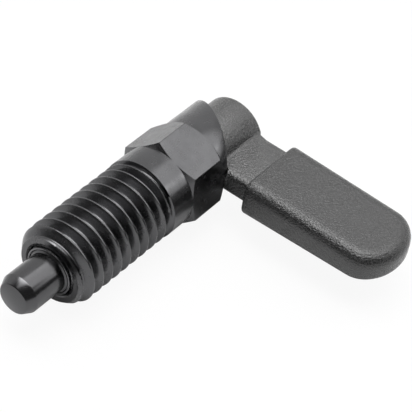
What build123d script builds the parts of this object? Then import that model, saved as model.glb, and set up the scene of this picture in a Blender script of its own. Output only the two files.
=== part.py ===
from build123d import *
import math
import os

# Cam-action locking bolt. Lengths are millimetres, angles degrees.
# +X is the way the pin points, +Y the way the lever points, +Z the lever's
# flat upper side. The origin is on the axis, where the thread ends and the
# plain neck begins.

# Body: one turned bar with a milled hexagon and a cam end cut on the skew.
thread_d = 10.0
thread_len = 15.1
start_chamfer_len = 1.25
front_face_d = 8.0
neck_d = 10.0
neck_len = 3.2
hex_af = 10.0
hex_len = 5.6
hex_corner_turn = 39.2
hex_front_chamfer = 30.0
hex_rear_chamfer = 42.0
hex_chamfer_crown = 0.02
rear_d = 10.0
cam_reach = 13.2
cam_tilt = 33.0
cam_turn = 15.0
chamber_d = 6.2
chamber_depth = 22.0
mouth_chamfer = 0.25
cam_edge_chamfer = 0.2

# Locking pin: nose, shoulder and guided length, collar that the spring
# pushes on, and stem.
nose_d = 4.8
nose_reach = 5.7
nose_tip_d = 3.8
nose_chamfer_len = 1.1
guide_d = 5.3
shoulder_reach = 0.3
shoulder_chamfer_len = 0.12
collar_len = 2.0
stem_d = 3.0
stem_head_len = 0.65
running_gap = 0.05

# Guide bush: pressed into the mouth, with a raised ring round the nose.
bush_len = 4.0
bush_edge_chamfer = 0.2
bush_ring_d = 5.86
bush_ring_step = 0.22
bush_ring_chamfer = 0.12
collar_seat_gap = 0.05

# Compression spring.
wire_d = 0.6
wire_sides = 6
coil_mean_d = 4.6
coil_turns = 6.5
steps_per_turn = 14

# Lever: hub with the matching cam face, and a flat arm.
hub_d = 7.7
hub_rear_x = -17.35
hub_edge_r = 0.4
crease_r = 0.3
cam_gap = 0.3
lever_side_gap = 0.15
arm_front_x = -9.25
arm_width = 7.7
arm_thick = 2.9
arm_edge_r = 0.5
tongue_len = 13.0
tongue_end_thick = 2.3
tongue_corner_r = 2.5

# Cross pin: runs in the stem's groove, so that the lever turns on the stem.
cross_pin_d = 1.2
cross_pin_inset = 2.15
cross_pin_len = 5.2
cross_pin_low_z = -3.3
cross_pin_grip = 0.6

# Grip sleeve: moulded cap pushed over the arm's tongue.
sleeve_start_y = 7.95
sleeve_len = 17.75
sleeve_width = 9.9
sleeve_tip_width = 9.4
sleeve_thick = 4.5
sleeve_tip_thick = 3.9
sleeve_round_len = 3.9
sleeve_edge_r = 1.3
sleeve_mouth_r = 0.3
sleeve_fit_gap = 0.05

# How far a cutting form runs past what it cuts.
overrun = 1.0
side_reach = 40.0
nudge = 0.01

X_SIDE = Plane.YZ


def turned(*points):
    """A solid turned about the bolt's axis, from (x, radius) points."""
    return revolve(make_face(Polyline(*points, close=True)), Axis.X)


def rod(x0, x1, diameter):
    """A plain round length on the bolt's axis."""
    return turned((x0, 0), (x1, 0), (x1, diameter / 2), (x0, diameter / 2))


def cam_plane(shift):
    """The skew plane of the cam faces, moved back by shift, normal to the rear."""
    slope = math.tan(math.radians(cam_tilt))
    turn = math.radians(cam_turn)
    normal = (-1, slope * math.cos(turn), slope * math.sin(turn))
    return Plane(origin=(-cam_reach - shift, 0, 0), z_dir=normal)


def ahead_of_cam(solid, shift):
    """What of a solid lies on the pin's side of the cam plane."""
    return split(solid, bisect_by=cam_plane(shift), keep=Keep.BOTTOM)


# Threaded body.
cam_rise = rear_d / 2 * math.tan(math.radians(cam_tilt))
body_rear_x = -cam_reach - cam_rise - overrun
thread = turned(
    (0, 0),
    (thread_len, 0),
    (thread_len, front_face_d / 2),
    (thread_len - start_chamfer_len, thread_d / 2),
    (0, thread_d / 2),
)
neck = rod(-neck_len - hex_len / 2, 0, neck_d)
rear = rod(body_rear_x, -neck_len - hex_len / 2, rear_d)

hex_corner_r = hex_af / 2 / math.cos(math.radians(30))
hex_prism_len = hex_len + 2 * overrun
hex_outline = RegularPolygon(hex_af / 2, 6, major_radius=False, rotation=hex_corner_turn)
hex_bar = extrude(X_SIDE.offset(-neck_len - hex_len - overrun) * hex_outline, hex_prism_len)
front_slope = math.tan(math.radians(hex_front_chamfer))
rear_slope = math.tan(math.radians(hex_rear_chamfer))
limit_r = hex_corner_r + overrun
core_r = neck_d / 4


def crowned(x0, r0, x1, r1):
    """A chamfer's outline from one (x, radius) to another, bulged a hair to the left."""
    middle = Vector((x0 + x1) / 2, (r0 + r1) / 2)
    outward = Vector(r1 - r0, x0 - x1).normalized() * hex_chamfer_crown
    return ThreePointArc((x0, r0), middle + outward, (x1, r1))


front_core_x = -neck_len + (hex_af / 2 - core_r) * front_slope
front_limit_x = -neck_len - (limit_r - hex_af / 2) * front_slope
rear_limit_x = -neck_len - hex_len + (limit_r - hex_af / 2) * rear_slope
rear_core_x = -neck_len - hex_len - (hex_af / 2 - core_r) * rear_slope
hex_outline_half = [
    Line((rear_core_x, 0), (front_core_x, 0)),
    Line((front_core_x, 0), (front_core_x, core_r)),
    crowned(front_core_x, core_r, front_limit_x, limit_r),
    Line((front_limit_x, limit_r), (rear_limit_x, limit_r)),
    crowned(rear_limit_x, limit_r, rear_core_x, core_r),
    Line((rear_core_x, core_r), (rear_core_x, 0)),
]
hex_form = revolve(make_face(hex_outline_half), Axis.X)
chamber_end_x = thread_len - chamber_depth
chamber = turned(
    (chamber_end_x, 0),
    (thread_len + overrun, 0),
    (thread_len + overrun, chamber_d / 2 + mouth_chamfer + overrun),
    (thread_len - mouth_chamfer, chamber_d / 2),
    (chamber_end_x, chamber_d / 2),
)
stem_hole_d = stem_d + 2 * running_gap
body = thread + neck + rear + (hex_bar & hex_form)
body = body - chamber - rod(body_rear_x - overrun, chamber_end_x + overrun, stem_hole_d)
threaded_body = ahead_of_cam(body, 0)
cam_edge = threaded_body.edges().filter_by(GeomType.ELLIPSE).sort_by(SortBy.LENGTH)[-1]
threaded_body = chamfer(cam_edge, cam_edge_chamfer)

# Guide bush.
bush_rear_x = thread_len - bush_len
bush_hole_d = guide_d + 2 * running_gap
bush_front_x = thread_len + bush_ring_step
guide_bush = turned(
    (bush_rear_x, bush_hole_d / 2),
    (bush_front_x, bush_hole_d / 2),
    (bush_front_x, bush_ring_d / 2 - bush_ring_chamfer),
    (bush_front_x - bush_ring_chamfer, bush_ring_d / 2),
    (thread_len - bush_edge_chamfer, bush_ring_d / 2),
    (thread_len - 2 * bush_edge_chamfer, chamber_d / 2),
    (bush_rear_x, chamber_d / 2),
)

# Locking pin.
collar_d = chamber_d - 2 * running_gap
collar_front_x = bush_rear_x - collar_seat_gap
collar_rear_x = collar_front_x - collar_len
nose_tip_x = thread_len + nose_reach
shoulder_x = thread_len + shoulder_reach
cross_pin_x = hub_rear_x + cross_pin_inset
groove_front_x = cross_pin_x + cross_pin_d / 2 + running_gap
groove_rear_x = cross_pin_x - cross_pin_d / 2 - running_gap
stem_end_x = groove_rear_x - stem_head_len
cross_pin_y = stem_d / 2 + cross_pin_d / 2 - cross_pin_grip
groove_d = 2 * (cross_pin_y - cross_pin_d / 2 - running_gap)
locking_pin = turned(
    (nose_tip_x, 0),
    (nose_tip_x, nose_tip_d / 2),
    (nose_tip_x - nose_chamfer_len, nose_d / 2),
    (shoulder_x, nose_d / 2),
    (shoulder_x - shoulder_chamfer_len, guide_d / 2),
    (collar_front_x, guide_d / 2),
    (collar_front_x, collar_d / 2),
    (collar_rear_x, collar_d / 2),
    (collar_rear_x, stem_d / 2),
    (groove_front_x, stem_d / 2),
    (groove_front_x, groove_d / 2),
    (groove_rear_x, groove_d / 2),
    (groove_rear_x, stem_d / 2),
    (stem_end_x, stem_d / 2),
    (stem_end_x, 0),
)

# Compression spring: wire bent in short straight lengths round a helix whose
# ends lie against the collar and the chamber's end.
coil_space = collar_rear_x - chamber_end_x - wire_d
coil_steps = round(coil_turns * steps_per_turn)
coil_points = []
for step in range(coil_steps + 1):
    turn = 2 * math.pi * step / steps_per_turn
    coil_x = chamber_end_x + wire_d / 2 + coil_space * step / coil_steps
    coil_points.append((coil_x, coil_mean_d / 2 * math.cos(turn), coil_mean_d / 2 * math.sin(turn)))
coil_path = Polyline(*coil_points)
wire_plane = Plane(coil_points[0], z_dir=coil_path % 0)
wire_section = wire_plane * RegularPolygon(wire_d / 2, wire_sides)
compression_spring = sweep(wire_section, path=coil_path, transition=Transition.RIGHT)

# Lever: hub and arm in one casting, cleared round the body's cam end.
arm_rear_x = arm_front_x - arm_width
arm_mid_x = (arm_front_x + arm_rear_x) / 2
tongue_end_y = sleeve_start_y + tongue_len
arm_plan = Plane.XY * make_face(
    Polyline(
        (arm_front_x, 0),
        (arm_front_x, tongue_end_y),
        (arm_rear_x, tongue_end_y),
        (arm_rear_x, 0),
        close=True,
    )
)
arm_plan = fillet(arm_plan.vertices().group_by(Axis.Y)[-1], tongue_corner_r)


def slab(start_thick, end_thick, y0, y1, y2):
    """A side outline, level from y0 to y1 and then thinning to y2."""
    outline = Polyline(
        (y0, -start_thick / 2),
        (y1, -start_thick / 2),
        (y2, -end_thick / 2),
        (y2, end_thick / 2),
        (y1, start_thick / 2),
        (y0, start_thick / 2),
        close=True,
    )
    return extrude(X_SIDE * make_face(outline), side_reach, both=True)


arm_side = slab(arm_thick, tongue_end_thick, -overrun, sleeve_start_y, tongue_end_y + nudge)
arm = extrude(arm_plan, arm_thick, both=True) & arm_side
arm_side_edges = arm.edges().filter_by(lambda e: abs(e.center().X - arm_mid_x) > arm_width / 4)
arm = fillet(arm_side_edges.filter_by(lambda e: e.length > arm_thick), arm_edge_r)
hub = rod(hub_rear_x, arm_front_x, hub_d)
hub = fillet(hub.edges().group_by(Axis.X)[0], hub_edge_r)
clear_of_body = ahead_of_cam(rod(body_rear_x - overrun, 0, rear_d + 2 * lever_side_gap), cam_gap)
stem_bore = rod(stem_end_x - running_gap, 0, stem_hole_d)
cross_pin_top_z = cross_pin_low_z + cross_pin_len
pin_start = Plane.XY.offset(cross_pin_low_z - 2 * overrun) * Location((cross_pin_x, cross_pin_y))
pin_hole = extrude(pin_start * Circle(cross_pin_d / 2), cross_pin_len + 2 * overrun)
casting = hub + arm
crease_y = math.sqrt((hub_d / 2) ** 2 - (arm_thick / 2) ** 2)
crease = casting.edges().filter_by(GeomType.LINE).filter_by(lambda e: abs(e.center().Y - crease_y) < crease_r)
casting = fillet(crease.filter_by(lambda e: abs(abs(e.center().Z) - arm_thick / 2) < nudge), crease_r)
lever = casting - clear_of_body - stem_bore - pin_hole

# Cross pin.
pin_foot = Plane.XY.offset(cross_pin_low_z) * Location((cross_pin_x, cross_pin_y))
cross_pin = extrude(pin_foot * Circle(cross_pin_d / 2), cross_pin_len)

# Grip sleeve: the outside thins and narrows to a rounded tip; the pocket
# follows the tongue.
sleeve_end_y = sleeve_start_y + sleeve_len
round_y = sleeve_end_y - sleeve_round_len
plan_near = sleeve_width / 2
plan_tip = sleeve_tip_width / 2
sides = [
    Line((arm_mid_x + plan_tip, round_y), (arm_mid_x + plan_near, sleeve_start_y)),
    Line((arm_mid_x + plan_near, sleeve_start_y), (arm_mid_x - plan_near, sleeve_start_y)),
    Line((arm_mid_x - plan_near, sleeve_start_y), (arm_mid_x - plan_tip, round_y)),
]
tip_round = EllipticalCenterArc((arm_mid_x, round_y), plan_tip, sleeve_round_len, start_angle=0, arc_size=180)
sleeve_plan = make_face(sides + [tip_round])
sleeve_side = slab(
    sleeve_thick,
    sleeve_tip_thick,
    sleeve_start_y - nudge,
    sleeve_start_y,
    sleeve_end_y + nudge,
)
sleeve = extrude(sleeve_plan, sleeve_thick, both=True) & sleeve_side
flat_faces = sleeve.faces().sort_by(Axis.Z)
flat_edges = flat_faces[0].edges() + flat_faces[-1].edges()
rim_edges = [e for e in flat_edges if e.center().Y > sleeve_start_y + nudge]
sleeve = fillet(rim_edges, sleeve_edge_r)
sleeve = fillet(sleeve.faces().sort_by(Axis.Y)[0].edges(), sleeve_mouth_r)
pocket_plan = offset(arm_plan, sleeve_fit_gap)
pocket_side = slab(
    arm_thick + 2 * sleeve_fit_gap,
    tongue_end_thick + 2 * sleeve_fit_gap,
    -overrun,
    sleeve_start_y,
    tongue_end_y + 2 * sleeve_fit_gap,
)
pocket = extrude(pocket_plan, arm_thick, both=True) & pocket_side
grip_sleeve = sleeve - pocket

nodes = {
    "threaded_body": threaded_body,
    "guide_bush": guide_bush,
    "locking_pin": locking_pin,
    "compression_spring": compression_spring,
    "lever": lever,
    "cross_pin": cross_pin,
    "grip_sleeve": grip_sleeve,
}
os.makedirs("parts", exist_ok=True)
for name, solid in nodes.items():
    export_step(solid, "parts/" + name + ".step")
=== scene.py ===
import math

import bmesh
import bpy
import numpy as np
from mathutils import Matrix


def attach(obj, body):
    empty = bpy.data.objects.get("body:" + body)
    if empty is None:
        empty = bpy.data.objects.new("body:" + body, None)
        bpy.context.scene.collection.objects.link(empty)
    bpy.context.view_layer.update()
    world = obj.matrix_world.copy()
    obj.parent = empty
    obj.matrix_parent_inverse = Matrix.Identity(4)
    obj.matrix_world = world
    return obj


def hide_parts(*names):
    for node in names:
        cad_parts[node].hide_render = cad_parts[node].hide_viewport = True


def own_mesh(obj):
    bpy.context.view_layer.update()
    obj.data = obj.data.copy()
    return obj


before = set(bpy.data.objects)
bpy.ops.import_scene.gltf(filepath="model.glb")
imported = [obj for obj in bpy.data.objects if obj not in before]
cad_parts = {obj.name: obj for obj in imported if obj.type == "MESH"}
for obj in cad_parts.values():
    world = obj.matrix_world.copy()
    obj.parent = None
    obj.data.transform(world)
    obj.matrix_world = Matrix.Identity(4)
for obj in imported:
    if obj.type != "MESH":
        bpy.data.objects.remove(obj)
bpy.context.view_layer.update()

# Threaded body: one bar of free-cutting steel, turned, threaded M10 x 1.5,
# milled to a 10 mm hexagon, sawn on the skew at the back and then blackened in
# a hot oxide bath. It is the fixed body that all the rest sits in.
MM = 0.001
thread_pitch = 1.5
crest_r = 4.93
crest_half_flat = 0.045
crest_round = 0.06
root_round = 0.2
crest_x_at_zero = 7.53
runout_start = -0.5
runout_full = 0.8
relief_bottom_x = 0.3
relief_bottom_r = 4.5
relief_rise = 1.6
last_turn_x = 1.6
last_turn_closer = 1.33
thread_end_x = 15.1
front_face_r = 4.0
front_cone_x = 13.85
body_r = 5.0
neck_back_x = -3.2
hex_back_x = -8.95
hex_flat_r = 5.0
hex_corner_deg = 39.2
hex_corner_round = 0.12
hex_front_slope = math.tan(math.radians(30))
hex_rear_slope = math.tan(math.radians(46.5))
cam_x = -12.35
cam_slope = math.tan(math.radians(31.5))
cam_turn = math.radians(-7.7)
cam_bevel = 0.2
stem_hole_r = 1.55
chamber_r = 3.1
chamber_end_x = -6.9
mouth_bevel = 0.25
spare_length = 0.2
merge_distance = 2e-7
least_edge = 1e-8


def around_columns():
    """Angles of the columns over one turn, from one hexagon corner round to
    itself: close together at each corner's rounding, 2.5 degrees elsewhere."""
    half = np.concatenate([[0.0, 0.2, 0.4, 0.6, 1.5, 3.0], np.arange(5.0, 30.0, 2.5)])
    sector = np.concatenate([half, [30.0], 60.0 - half[:0:-1]])
    turns = np.concatenate([sector + 60.0 * k for k in range(6)] + [[360.0]])
    return np.radians(hex_corner_deg + turns)


def thread_outline():
    """One pitch of the thread from crest to crest as (offset, depth): a crest
    flat, a rounded corner, a 30 degree flank and a rounded root, mirrored."""
    bend = np.radians(np.linspace(0, 60, 5))
    corner_x = crest_half_flat + crest_round * np.sin(bend)
    corner = np.stack([corner_x, crest_round * (1 - np.cos(bend))], 1)
    flank_run = thread_pitch / 2 - root_round * math.sin(bend[-1]) - corner[-1, 0]
    flank_depth = flank_run / math.tan(math.radians(30))
    depth = corner[-1, 1] + flank_depth + root_round * (1 - math.cos(bend[-1]))
    bend = np.radians(np.linspace(60, 0, 6))
    root_x = thread_pitch / 2 - root_round * np.sin(bend)
    root = np.stack([root_x, depth - root_round * (1 - np.cos(bend))], 1)
    middle = (corner[-1] + root[0]) / 2
    half = np.vstack([[[0, 0]], corner, [middle], root])
    back = np.stack([thread_pitch - half[-2:0:-1, 0], half[-2:0:-1, 1]], 1)
    return np.vstack([half, back])


def thread_rows(theta):
    """Rows that follow the helix, x = start + pitch * turn, clipped to the
    thread's length. The last turn's x is drawn in, so that it stands closer to
    the rest. The radius is the least of three: the crest less the outline's
    depth, faded in over the run-out; the front cone; and the relief groove."""
    outline = thread_outline()
    turns = (theta - theta[0]) / (2 * math.pi)
    first_crest = crest_x_at_zero + thread_pitch * theta[0] / (2 * math.pi)
    low = math.floor((-thread_pitch - first_crest) / thread_pitch) - 1
    high = math.ceil((thread_end_x - first_crest) / thread_pitch) + 1
    pitches = np.arange(low, high)
    start = (first_crest + thread_pitch * pitches[:, None] + outline[None, :, 0]).ravel()
    depth = np.tile(outline[:, 1], len(pitches))
    keep = (start > -thread_pitch - spare_length) & (start < thread_end_x + spare_length)
    helix_x = start[keep][:, None] + thread_pitch * turns[None, :]
    x = np.clip(helix_x, last_turn_x * (1 - last_turn_closer), thread_end_x)
    lead = (x - helix_x + start[keep][:, None] - first_crest) % thread_pitch
    table_x = np.append(outline[:, 0], thread_pitch)
    table_d = np.append(outline[:, 1], 0)
    clipped_depth = np.interp(lead, table_x, table_d)
    depth = np.where(x == helix_x, depth[keep][:, None], clipped_depth)
    x = np.where(x < last_turn_x, last_turn_x - (last_turn_x - x) / last_turn_closer, x)
    fade = np.clip((x - runout_start) / (runout_full - runout_start), 0, 1)
    radius = crest_r - depth * fade
    cone_slope = (body_r - front_face_r) / (thread_end_x - front_cone_x)
    cone = front_face_r + (thread_end_x - x) * cone_slope
    falling = body_r - x * (body_r - relief_bottom_r) / relief_bottom_x
    rising = relief_bottom_r + (x - relief_bottom_x) * relief_rise
    relief = np.where(x < relief_bottom_x, falling, rising)
    radius = np.minimum(np.minimum(radius, cone), relief)
    radius = np.where(x < least_edge, body_r, radius)
    return x[::-1], radius[::-1]


def hex_radius(theta):
    """Radius of the rounded hexagon: the flat's distance over the cosine from
    its middle, or the corner's small circle where that is nearer the axis."""
    off = (theta - math.radians(hex_corner_deg) + math.pi / 6) % (math.pi / 3) - math.pi / 6
    flat = hex_flat_r / np.cos(np.abs(off) - math.pi / 6)
    centre = (hex_flat_r - hex_corner_round) / math.cos(math.pi / 6)
    under = np.clip(hex_corner_round**2 - (centre * np.sin(off)) ** 2, 0, None)
    tangent = math.atan2(hex_corner_round * 0.5, centre + hex_corner_round * math.cos(math.pi / 6))
    corner = centre * np.cos(off) + np.sqrt(under)
    return np.where(np.abs(off) <= tangent + 1e-9, corner, flat)


def turned_points(x, radius, theta):
    """Points of rows of (x, radius) at the column angles, in metres."""
    x, radius, theta = np.broadcast_arrays(x, radius, theta)
    return np.stack([x, radius * np.cos(theta), radius * np.sin(theta)], -1) * MM


def make_piece(name, grids, body, closed_rows=False, sharp_deg=32):
    """A mesh whose quads join neighbouring rows and columns of each grid of
    points, its doubles merged and its faces turned outwards."""
    points = []
    quads = []
    for grid in grids:
        rows, cols = grid.shape[:2]
        index = sum(len(part) for part in points) + np.arange(rows * cols).reshape(rows, cols)
        if closed_rows:
            index = np.vstack([index, index[:1]])
        cells = np.stack([index[:-1, :-1], index[:-1, 1:], index[1:, 1:], index[1:, :-1]], -1)
        points.append(grid.reshape(-1, 3))
        quads.append(cells.reshape(-1, 4))
    mesh = bpy.data.meshes.new(name)
    mesh.from_pydata(np.vstack(points).tolist(), [], np.vstack(quads).tolist())
    work = bmesh.new()
    work.from_mesh(mesh)
    bmesh.ops.remove_doubles(work, verts=work.verts, dist=merge_distance)
    bmesh.ops.dissolve_degenerate(work, edges=work.edges, dist=least_edge)
    bmesh.ops.recalc_face_normals(work, faces=work.faces)
    work.to_mesh(mesh)
    work.free()
    mesh.shade_smooth()
    mesh.set_sharp_from_angle(angle=math.radians(sharp_deg))
    piece = bpy.data.objects.new(name, mesh)
    bpy.context.scene.collection.objects.link(piece)
    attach(piece, body)
    return piece


def new_material(name):
    """An empty node material with its output and Principled shader."""
    material = bpy.data.materials.new(name)
    material.use_nodes = True
    return material, material.node_tree, material.node_tree.nodes["Principled BSDF"]


def node(tree, kind, inputs=(), **settings):
    """A node with its settings, and its inputs set or linked by name."""
    made = tree.nodes.new("ShaderNode" + kind)
    for key, value in settings.items():
        setattr(made, key, value)
    for key, value in dict(inputs).items():
        if isinstance(value, bpy.types.NodeSocket):
            tree.links.new(value, made.inputs[key])
        else:
            made.inputs[key].default_value = value
    return made


def ranged(tree, value, low, high, to_low, to_high, **settings):
    """A value carried from one range to another."""
    inputs = {"Value": value, "From Min": low, "From Max": high, "To Min": to_low, "To Max": to_high}
    return node(tree, "MapRange", inputs, **settings).outputs["Result"]


def two_greys(tree, value, low, high, dark, light, blue):
    """A ramp from a dark to a light grey, with a little blue in both."""
    ramp = node(tree, "ValToRGB", {"Fac": value})
    ramp.color_ramp.elements[0].position = low
    ramp.color_ramp.elements[1].position = high
    ramp.color_ramp.elements[0].color = (dark, dark, dark * blue, 1)
    ramp.color_ramp.elements[1].color = (light, light, light * blue, 1)
    return ramp.outputs["Color"]


def two_bumps(tree, coarse, coarse_height, fine, fine_height):
    """The normal of a coarse relief with a fine one over it, heights in mm."""
    first = node(tree, "Bump", {"Height": coarse, "Strength": 1.0, "Distance": coarse_height * MM})
    inputs = {"Height": fine, "Strength": 1.0, "Distance": fine_height * MM}
    inputs["Normal"] = first.outputs["Normal"]
    return node(tree, "Bump", inputs).outputs["Normal"]


def blackened_steel(name, dark, light, rough, rings, ring_height, grain_height):
    """Steel under a thin black oxide: near-black metal that mirrors softly, in
    two close greys, with turning rings across the axis and a fine grain."""
    material, tree, shader = new_material(name)
    place = node(tree, "TexCoord").outputs["Object"]
    cloud = node(tree, "TexNoise", {"Vector": place, "Scale": 260.0, "Detail": 4.0}).outputs["Fac"]
    tone = two_greys(tree, cloud, 0.3, 0.7, dark, light, 1.03)
    tree.links.new(tone, shader.inputs["Base Color"])
    wear = node(tree, "TexNoise", {"Vector": place, "Scale": 900.0, "Detail": 5.0}).outputs["Fac"]
    tree.links.new(ranged(tree, wear, 0.3, 0.7, *rough), shader.inputs["Roughness"])
    along_x = node(tree, "Mapping", {"Vector": place, "Scale": (rings, 60.0, 60.0)}).outputs["Vector"]
    turned = node(tree, "TexNoise", {"Vector": along_x, "Scale": 1.0, "Detail": 3.0}).outputs["Fac"]
    grain = node(tree, "TexNoise", {"Vector": place, "Scale": 6000.0, "Detail": 2.0}).outputs["Fac"]
    relief = two_bumps(tree, turned, ring_height, grain, grain_height)
    tree.links.new(relief, shader.inputs["Normal"])
    shader.inputs["Metallic"].default_value = 1.0
    return material


theta = around_columns()
plain = np.ones_like(theta)
hex_r = hex_radius(theta)


def cam_plane_x(radius):
    """Where the skew rear plane lies at that radius, for each column."""
    return cam_x + radius * cam_slope * np.cos(theta - cam_turn)


thread_x, thread_r = thread_rows(theta)
body_rows = [
    (chamber_end_x * plain, stem_hole_r * plain),
    (chamber_end_x * plain, chamber_r * plain),
    ((thread_end_x - mouth_bevel) * plain, chamber_r * plain),
    (thread_end_x * plain, (chamber_r + mouth_bevel) * plain),
    (thread_end_x * plain, front_face_r * plain),
]
body_rows += list(zip(thread_x, thread_r))
body_rows += [
    (0.0 * plain, body_r * plain),
    (neck_back_x * plain, body_r * plain),
    (neck_back_x - (hex_r - body_r) * hex_front_slope, hex_r),
    (hex_back_x + (hex_r - body_r) * hex_rear_slope, hex_r),
    (hex_back_x * plain, body_r * plain),
    (cam_plane_x(body_r) + cam_bevel, body_r * plain),
    (cam_plane_x(body_r - cam_bevel / 2) + cam_bevel / 4, (body_r - cam_bevel / 4) * plain),
    (cam_plane_x(body_r - cam_bevel), (body_r - cam_bevel) * plain),
    (cam_plane_x(stem_hole_r), stem_hole_r * plain),
]
body_x = np.array([row[0] for row in body_rows])
body_radius = np.array([row[1] for row in body_rows])
body_grid = turned_points(body_x, body_radius, theta)
body_piece = make_piece("bolt_body_turned", [body_grid], "bolt_body", closed_rows=True)
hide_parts("threaded_body")
body_piece.data.materials.append(
    blackened_steel(
        "blackened_steel",
        dark=0.095,
        light=0.118,
        rough=(0.2, 0.3),
        rings=9000.0,
        ring_height=0.0006,
        grain_height=0.0003,
    )
)

# Guide bush: a short turned steel ring pressed into the body's mouth. Its hole
# guides the pin, and its thin raised lip stands just out of the body.
ring_theta = np.radians(np.linspace(0, 360, 145))


def lathe(name, outline, body, closed=True, sharp_deg=32):
    """A piece turned about the bolt's axis from its (x, radius) outline."""
    outline = np.array(outline, float)
    points = turned_points(outline[:, :1], outline[:, 1:], ring_theta[None, :])
    return make_piece(name, [points], body, closed_rows=closed, sharp_deg=sharp_deg)


bush_back_x = thread_end_x - 4.0
bush_hole_r = 2.7
bush_lip_r = 2.93
bush_lip_x = thread_end_x + 0.22
bush_outline = [
    (bush_back_x, bush_hole_r),
    (bush_lip_x - 0.03, bush_hole_r),
    (bush_lip_x, bush_hole_r + 0.03),
    (bush_lip_x, bush_lip_r - 0.12),
    (bush_lip_x - 0.02, bush_lip_r - 0.05),
    (bush_lip_x - 0.06, bush_lip_r - 0.01),
    (bush_lip_x - 0.12, bush_lip_r),
    (thread_end_x - 0.2, bush_lip_r),
    (thread_end_x - 0.4, chamber_r),
    (bush_back_x, chamber_r),
]
bush = lathe("guide_bush_ring", bush_outline, "bolt_body")
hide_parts("guide_bush")
bush.data.materials.append(
    blackened_steel(
        "bush_steel",
        dark=0.12,
        light=0.15,
        rough=(0.2, 0.3),
        rings=7000.0,
        ring_height=0.0006,
        grain_height=0.0003,
    )
)

# Locking pin: hardened and ground steel, blackened. Its nose has a long
# tapered lead; behind the shoulder are the guided length, the collar that the
# spring pushes on, and the stem with the groove that the cross pin runs in.
pin_tip_x = 20.8
pin_tip_r = 1.78
pin_lead_x = 19.6
pin_nose_r = 2.4
pin_step_x = 15.4
pin_guided_r = 2.65
collar_front_x = 11.05
collar_back_x = 9.05
collar_r = 3.05
stem_r = 1.5
groove_front_x = -14.55
groove_back_x = -15.85
groove_r = 0.85
stem_end_x = -16.5
stem_end_bevel = 0.1
pin_outline = [
    (pin_tip_x, 0.0),
    (pin_tip_x, pin_tip_r),
    (pin_tip_x - 0.03, pin_tip_r + 0.08),
    (pin_tip_x - 0.1, pin_tip_r + 0.14),
    (pin_lead_x + 0.16, pin_nose_r - 0.03),
    (pin_lead_x + 0.1, pin_nose_r - 0.01),
    (pin_lead_x, pin_nose_r),
    (pin_step_x, pin_nose_r),
    (pin_step_x - 0.12, pin_guided_r - 0.03),
    (pin_step_x - 0.18, pin_guided_r),
    (collar_front_x, pin_guided_r),
    (collar_front_x, collar_r),
    (collar_back_x, collar_r),
    (collar_back_x, stem_r),
    (groove_front_x, stem_r),
    (groove_front_x, groove_r),
    (groove_back_x, groove_r),
    (groove_back_x, stem_r),
    (stem_end_x + stem_end_bevel, stem_r),
    (stem_end_x, stem_r - stem_end_bevel),
    (stem_end_x, 0.0),
]
pin = lathe("locking_pin_ground", pin_outline, "pin_assembly", closed=False)
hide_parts("locking_pin")
pin.data.materials.append(
    blackened_steel(
        "pin_steel",
        dark=0.084,
        light=0.096,
        rough=(0.16, 0.24),
        rings=5000.0,
        ring_height=0.0004,
        grain_height=0.0003,
    )
)

# Compression spring: hard-drawn steel wire, coiled between the pin's collar and
# the chamber's end, inside the body. The pin's stroke shortens it.
wire_r = 0.3
coil_r = 2.3
coil_turns = 6.5
coil_back_x = chamber_end_x + wire_r
coil_front_x = collar_back_x - wire_r
along = np.linspace(0, 1, 361)
coil_angle = 2 * math.pi * coil_turns * along
coil_x = coil_back_x + (coil_front_x - coil_back_x) * along
round_wire = np.radians(np.linspace(0, 360, 13))
wire_x = coil_x[:, None] + wire_r * np.sin(round_wire)[None, :]
wire_radius = coil_r + wire_r * np.cos(round_wire)[None, :]
wire_points = np.stack(
    [
        wire_x,
        wire_radius * np.cos(coil_angle)[:, None],
        wire_radius * np.sin(coil_angle)[:, None],
    ],
    -1,
)
for end in (0, -1):
    centre = wire_points[end, :-1].mean(0)
    cap = np.broadcast_to(centre, wire_points[end].shape)
    stack = [cap[None], wire_points] if end == 0 else [wire_points, cap[None]]
    wire_points = np.vstack(stack)
spring = make_piece("pin_spring", [wire_points * MM], "pin_assembly")
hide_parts("compression_spring")
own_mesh(spring)
spring.data.materials.append(
    blackened_steel(
        "spring_wire",
        dark=0.42,
        light=0.5,
        rough=(0.25, 0.35),
        rings=800.0,
        ring_height=0.0004,
        grain_height=0.0002,
    )
)


# Lever: hub and arm in one zinc casting under a textured black coat. The hub's
# front is on the same skew as the body's end, and the stem ends in the hub.
def textured_coat(name, dark, light, speck_height, grain_height, rough, index):
    """A textured coat: nearly black, its pimples as two sizes of relief, with painted
    shade: the base colour darker in the hollows and lighter on the tops, and a clear sheen."""
    material, tree, shader = new_material(name)
    place = node(tree, "TexCoord").outputs["Object"]
    speck_inputs = {"Vector": place, "Scale": 4800.0, "Detail": 2.0, "Roughness": 0.6}
    speck_relief_and_shade = node(tree, "TexNoise", speck_inputs).outputs["Fac"]
    grain = node(tree, "TexNoise", {"Vector": place, "Scale": 9000.0, "Detail": 3.0}).outputs["Fac"]
    # Painted shade: the base colour follows the relief, darker in the pimples' hollows and lighter on
    # their tops.
    tone = two_greys(tree, speck_relief_and_shade, 0.35, 0.65, dark, light, 1.0)
    tree.links.new(tone, shader.inputs["Base Color"])
    tree.links.new(ranged(tree, grain, 0.3, 0.7, *rough), shader.inputs["Roughness"])
    relief = two_bumps(tree, speck_relief_and_shade, speck_height, grain, grain_height)
    tree.links.new(relief, shader.inputs["Normal"])
    shader.inputs["Specular IOR Level"].default_value = 1.0
    shader.inputs["IOR"].default_value = index
    return material


hub_r = 3.9
hub_back_x = -17.6
hub_edge_r = 0.4
crease_r = 0.5
cam_gap = 0.3
arm_front_x = -9.05
arm_back_x = -17.2
arm_half_z = 1.525
arm_edge_r = 0.85
arm_clear_r = 5.15
arm_hidden_y = 11.0
arm_step = 0.01
arm_back_run = 0.3
hub_front_edge_r = 0.12
hub_start = 0.02


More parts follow.
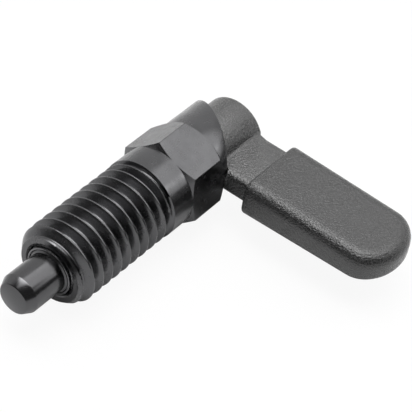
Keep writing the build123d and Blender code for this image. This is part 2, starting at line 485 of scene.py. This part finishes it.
def lever_side():
    """The lever's upper side seen along the axis, as (y, half height): the
    hub's circle, the concave crease tangent to it, and the flat arm."""
    centre_z = arm_half_z + crease_r
    centre_y = math.sqrt((hub_r + crease_r) ** 2 - centre_z**2)
    touch = math.atan2(centre_z, centre_y)
    turn = np.linspace(math.pi - hub_start, touch, 60)
    circle = np.stack([hub_r * np.cos(turn), hub_r * np.sin(turn)], 1)
    bend = np.linspace(math.pi + touch, 1.5 * math.pi, 8)[1:]
    crease = np.stack([centre_y + crease_r * np.cos(bend), centre_z + crease_r * np.sin(bend)], 1)
    shoulder = math.sqrt(arm_clear_r**2 - arm_half_z**2)
    rest = np.linspace(shoulder + 0.3, arm_hidden_y, 10)
    reach = np.concatenate([[shoulder, shoulder + arm_step], rest])
    arm = np.stack([reach, np.full_like(reach, arm_half_z)], 1)
    return np.vstack([circle, crease, arm]), centre_y, shoulder


def corner_arc(radius, start_deg):
    """A quarter circle of seven points as two columns, for each row's radius."""
    bend = np.radians(np.linspace(start_deg, start_deg - 90, 7))[None, :]
    return radius[:, None] * np.cos(bend), radius[:, None] * np.sin(bend)


def lever_points():
    """Sections across Y, each a rounded rectangle in X and Z: as high as the
    side outline, from the lever's back to the cam plane on the hub and to the
    arm's own front face beyond the body's clearance."""
    side, crease_y, shoulder = lever_side()
    y, high = side[:, 0], side[:, 1]
    on_arm = y > shoulder + arm_step / 2
    back_share = np.clip((y - crease_y + arm_back_run) / arm_back_run, 0, 1)
    back = hub_back_x + (arm_back_x - hub_back_x) * back_share
    front = cam_x - cam_gap + cam_slope * math.cos(cam_turn) * y
    front = np.where(on_arm, arm_front_x, front)
    back_edge = np.where(y > crease_y, arm_edge_r, hub_edge_r)
    front_edge = np.where(on_arm, arm_edge_r, hub_front_edge_r)
    back_edge = np.minimum(back_edge, 0.95 * high)
    front_edge = np.minimum(front_edge, 0.95 * high)
    bx, bz = corner_arc(back_edge, 180)
    fx, fz = corner_arc(front_edge, 90)
    upper_x = np.hstack([(back + back_edge)[:, None] + bx, (front - front_edge)[:, None] + fx])
    upper_z = np.hstack([(high - back_edge)[:, None] + bz, (high - front_edge)[:, None] + fz])
    x = np.hstack([upper_x, upper_x[:, ::-1], upper_x[:, :1]])
    z = np.hstack([upper_z, -upper_z[:, ::-1], upper_z[:, :1]])
    on_cam = ~on_arm[:, None] & (x > ((front + back) / 2)[:, None])
    x = x + np.where(on_cam, cam_slope * math.sin(-cam_turn) * z, 0)
    points = np.stack([x, np.broadcast_to(y[:, None], x.shape), z], -1)
    ends = points[[0, -1]].mean(1, keepdims=True) + np.zeros_like(points[[0, -1]])
    return np.concatenate([ends[:1], points, ends[1:]]) * MM


lever = make_piece("lever_cast", [lever_points()], "lever_assembly", sharp_deg=40)
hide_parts("lever")
lever.data.materials.append(
    textured_coat(
        "black_casting",
        dark=0.008,
        light=0.014,
        speck_height=0.125,
        grain_height=0.01,
        rough=(0.2, 0.28),
        index=1.54,
    )
)

# Cross pin: a plain hardened steel dowel pressed into the hub from below. It
# runs in the stem's groove, so that the lever turns freely and draws the pin.
cross_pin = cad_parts["cross_pin"]
cross_pin.data.materials.clear()
cross_pin.data.materials.append(
    blackened_steel(
        "cross_pin_steel",
        dark=0.25,
        light=0.32,
        rough=(0.25, 0.35),
        rings=900.0,
        ring_height=0.0004,
        grain_height=0.0002,
    )
)

# Grip sleeve: a moulded cap of dark grey plastic with a fine spark-eroded
# texture, pushed over the arm's tongue. It thins a little towards its end.
sleeve_x = -13.05
sleeve_near_y = 8.25
sleeve_end_y = 26.6
sleeve_near_half = 5.05
sleeve_tip_half = 5.02
sleeve_round = 3.87
sleeve_near_thick = 2.45
sleeve_tip_thick = 1.95
sleeve_edge_r = 1.5
sleeve_mouth_r = 0.3


def sleeve_grids():
    """Two grids. The first runs round the plan (side, half ellipse, side) and,
    at each place, from the lower face's middle round both edges' quarter
    circles to the upper face's middle. The second closes the mouth: the end
    section is drawn in round a small quarter circle and then to its centre."""
    tip = np.radians(np.linspace(0, 180, 97))
    round_y = sleeve_end_y - sleeve_round
    start_y = sleeve_near_y + sleeve_mouth_r
    arc = np.stack([sleeve_tip_half * np.cos(tip), round_y + sleeve_round * np.sin(tip)], 1)
    arc_out = np.stack([sleeve_round * np.cos(tip), sleeve_tip_half * np.sin(tip)], 1)
    arc_out /= np.linalg.norm(arc_out, axis=1)[:, None]
    corner = np.array([sleeve_near_half, start_y])
    side = corner + (arc[0] - corner) * np.linspace(0, 1, 24)[:-1, None]
    side_out = np.broadcast_to([[1.0, 0.0]], side.shape)
    flip = np.array([[-1.0, 1.0]])
    plan = np.vstack([side, arc, side[::-1] * flip])
    out = np.vstack([side_out, arc_out, side_out * flip])
    turn = np.radians(np.linspace(0, 90, 9))[:, None, None]
    rim = plan - out * sleeve_edge_r * (1 - np.cos(turn))
    spine = np.stack([0 * plan[:, 0], np.clip(plan[:, 1], start_y, round_y)], 1)
    flat = rim[-1] + (spine - rim[-1]) * np.linspace(0, 1, 12)[1:, None, None]
    layers = np.concatenate([rim, flat])
    share = (layers[..., 1] - sleeve_near_y) / (sleeve_end_y - sleeve_near_y)
    half = sleeve_near_thick + (sleeve_tip_thick - sleeve_near_thick) * share
    drop = np.zeros((len(layers), 1))
    drop[: len(rim)] = sleeve_edge_r * (1 - np.sin(turn[:, 0]))
    top = np.stack([sleeve_x + layers[..., 0], layers[..., 1], half - drop], -1)
    body = np.concatenate([top[::-1] * [1, 1, -1], top])
    loop = np.concatenate([body[:, 0], body[::-1, -1]])
    lean = np.full(len(layers), math.pi / 2)
    lean[: len(rim)] = turn[:, 0, 0]
    across = np.concatenate([np.cos(lean[::-1]), np.cos(lean)])
    upward = np.concatenate([-np.sin(lean[::-1]), np.sin(lean)])
    away = np.stack([across, 0 * across, upward], 1)
    away = np.concatenate([away, away[::-1] * [-1, 1, 1]])
    bend = np.radians(np.linspace(0, 90, 6))[:, None, None]
    rounded = loop - away * sleeve_mouth_r * (1 - np.cos(bend)) - [0, sleeve_mouth_r, 0] * np.sin(bend)
    centre = np.broadcast_to([sleeve_x, sleeve_near_y, 0], loop.shape)
    return body * MM, np.concatenate([rounded, centre[None]]) * MM


sleeve = make_piece("grip_sleeve_moulded", sleeve_grids(), "lever_assembly", sharp_deg=50)
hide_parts("grip_sleeve")
sleeve.data.materials.append(
    textured_coat(
        "grip_plastic",
        dark=0.01,
        light=0.014,
        speck_height=0.11,
        grain_height=0.01,
        rough=(0.21, 0.29),
        index=1.45,
    )
)

# Studio: a pale table, a soft box hung overhead and towards the back, white
# walls behind and to the left, a small panel, a strip of light straight above,
# and the unlit room on the camera's side.
floor_z = -5.7
floor_half = 900.0
floor_grey = 0.7
floor_white = 0.92
wall_way = (-0.55, -0.83, 0.0)
panel_way = (-0.616, 0.666, 0.42)
strip_stretch = (1.5, 0.55, 1.0)
strip_way = (0.03, -0.08, 0.996)
floor_mesh = bpy.data.meshes.new("studio_floor")
floor_signs = [(-1, -1), (1, -1), (1, 1), (-1, 1)]
floor_corners = [(a * floor_half * MM, b * floor_half * MM, floor_z * MM) for a, b in floor_signs]
floor_mesh.from_pydata(floor_corners, [], [(0, 1, 2, 3)])
floor = bpy.data.objects.new("studio_floor", floor_mesh)
bpy.context.scene.collection.objects.link(floor)
floor_material, tree, shader = new_material("studio_floor")
shader.inputs["Base Color"].default_value = (floor_grey, floor_grey, floor_grey, 1)
shader.inputs["Roughness"].default_value = 0.45
ray = node(tree, "LightPath")
glow = node(tree, "Emission", {"Color": (1, 1, 1, 1), "Strength": 1.0})
seen = node(tree, "Math", {0: ray.outputs["Is Camera Ray"], 1: floor_white}, operation="MULTIPLY")
blend = node(tree, "MixShader", {0: seen.outputs[0], 1: shader.outputs[0], 2: glow.outputs[0]})
tree.links.new(blend.outputs[0], tree.nodes["Material Output"].inputs["Surface"])
floor_mesh.materials.append(floor_material)


def light_towards(tree, way, centre, low, high, darkest, brightest):
    """Light that rises smoothly as the way comes nearer to the centre."""
    near = node(tree, "VectorMath", {0: way, 1: centre}, operation="DOT_PRODUCT").outputs["Value"]
    return ranged(tree, near, low, high, darkest, brightest, interpolation_type="SMOOTHSTEP")


def larger(tree, one, other):
    """The larger of two values."""
    return node(tree, "Math", {0: one, 1: other}, operation="MAXIMUM").outputs[0]


world = bpy.data.worlds.new("studio_world")
bpy.context.scene.world = world
world.use_nodes = True
tree = world.node_tree
tree.nodes.clear()
ray = node(tree, "LightPath")
way = node(tree, "TexCoord").outputs["Generated"]
stretched = node(tree, "VectorMath", {0: way, 1: strip_stretch}, operation="MULTIPLY").outputs["Vector"]
stretched = node(tree, "VectorMath", {0: stretched}, operation="NORMALIZE").outputs["Vector"]
wall = light_towards(tree, way, wall_way, 0.05, 0.65, 0.12, 1.0)
panel = light_towards(tree, way, panel_way, 0.972, 0.99, 0.0, 2.0)
strip = light_towards(tree, stretched, strip_way, 0.91, 0.985, 0.0, 5.6)
room = larger(tree, larger(tree, wall, panel), strip)
lit = larger(tree, ray.outputs["Is Glossy Ray"], ray.outputs["Is Diffuse Ray"])
share = node(tree, "Math", {0: lit, 1: room}, operation="MULTIPLY").outputs[0]
clear = larger(tree, ray.outputs["Is Camera Ray"], ray.outputs["Is Transmission Ray"])
strength = larger(tree, share, clear)
background = node(tree, "Background", {"Color": (1, 1, 1, 1), "Strength": strength})
output = node(tree, "OutputWorld")
tree.links.new(background.outputs[0], output.inputs["Surface"])

box_height = 350.0
box_centre = (-0.632 * box_height - 4, 0.369 * box_height + 6, box_height)
box_long = 2.6 * box_height
box_short = 0.9 * box_height
box_turn = math.radians(140.6)
box_radiance = 2.0
lamp = bpy.data.lights.new("soft_box", "AREA")
lamp.shape = "RECTANGLE"
lamp.size = box_long * MM
lamp.size_y = box_short * MM
lamp.energy = box_radiance * math.pi * lamp.size * lamp.size_y
soft_box = bpy.data.objects.new("soft_box", lamp)
box_place = Matrix.Translation([v * MM for v in box_centre])
soft_box.matrix_world = box_place @ Matrix.Rotation(box_turn, 4, "Z")
bpy.context.scene.collection.objects.link(soft_box)

# Camera: the photograph's place, turn and lens, as fitted to the bolt's axis,
# hexagon and lever.
camera = bpy.data.objects.new("camera", bpy.data.cameras.new("camera"))
camera.data.lens = 151.8
camera.data.sensor_width = 36.0
camera.data.clip_start = 0.005
eye = (114.80, 78.07, 134.37)
right = (-0.6101, 0.7831, 0.1209)
up = (-0.4983, -0.4978, 0.7098)
back = (0.6160, 0.3728, 0.6939)
camera.matrix_world = Matrix(
    [(right[i], up[i], back[i], eye[i] * MM) for i in range(3)] + [(0, 0, 0, 1)]
)
bpy.context.scene.collection.objects.link(camera)
bpy.context.scene.camera = camera
bpy.context.scene.view_settings.view_transform = "Standard"
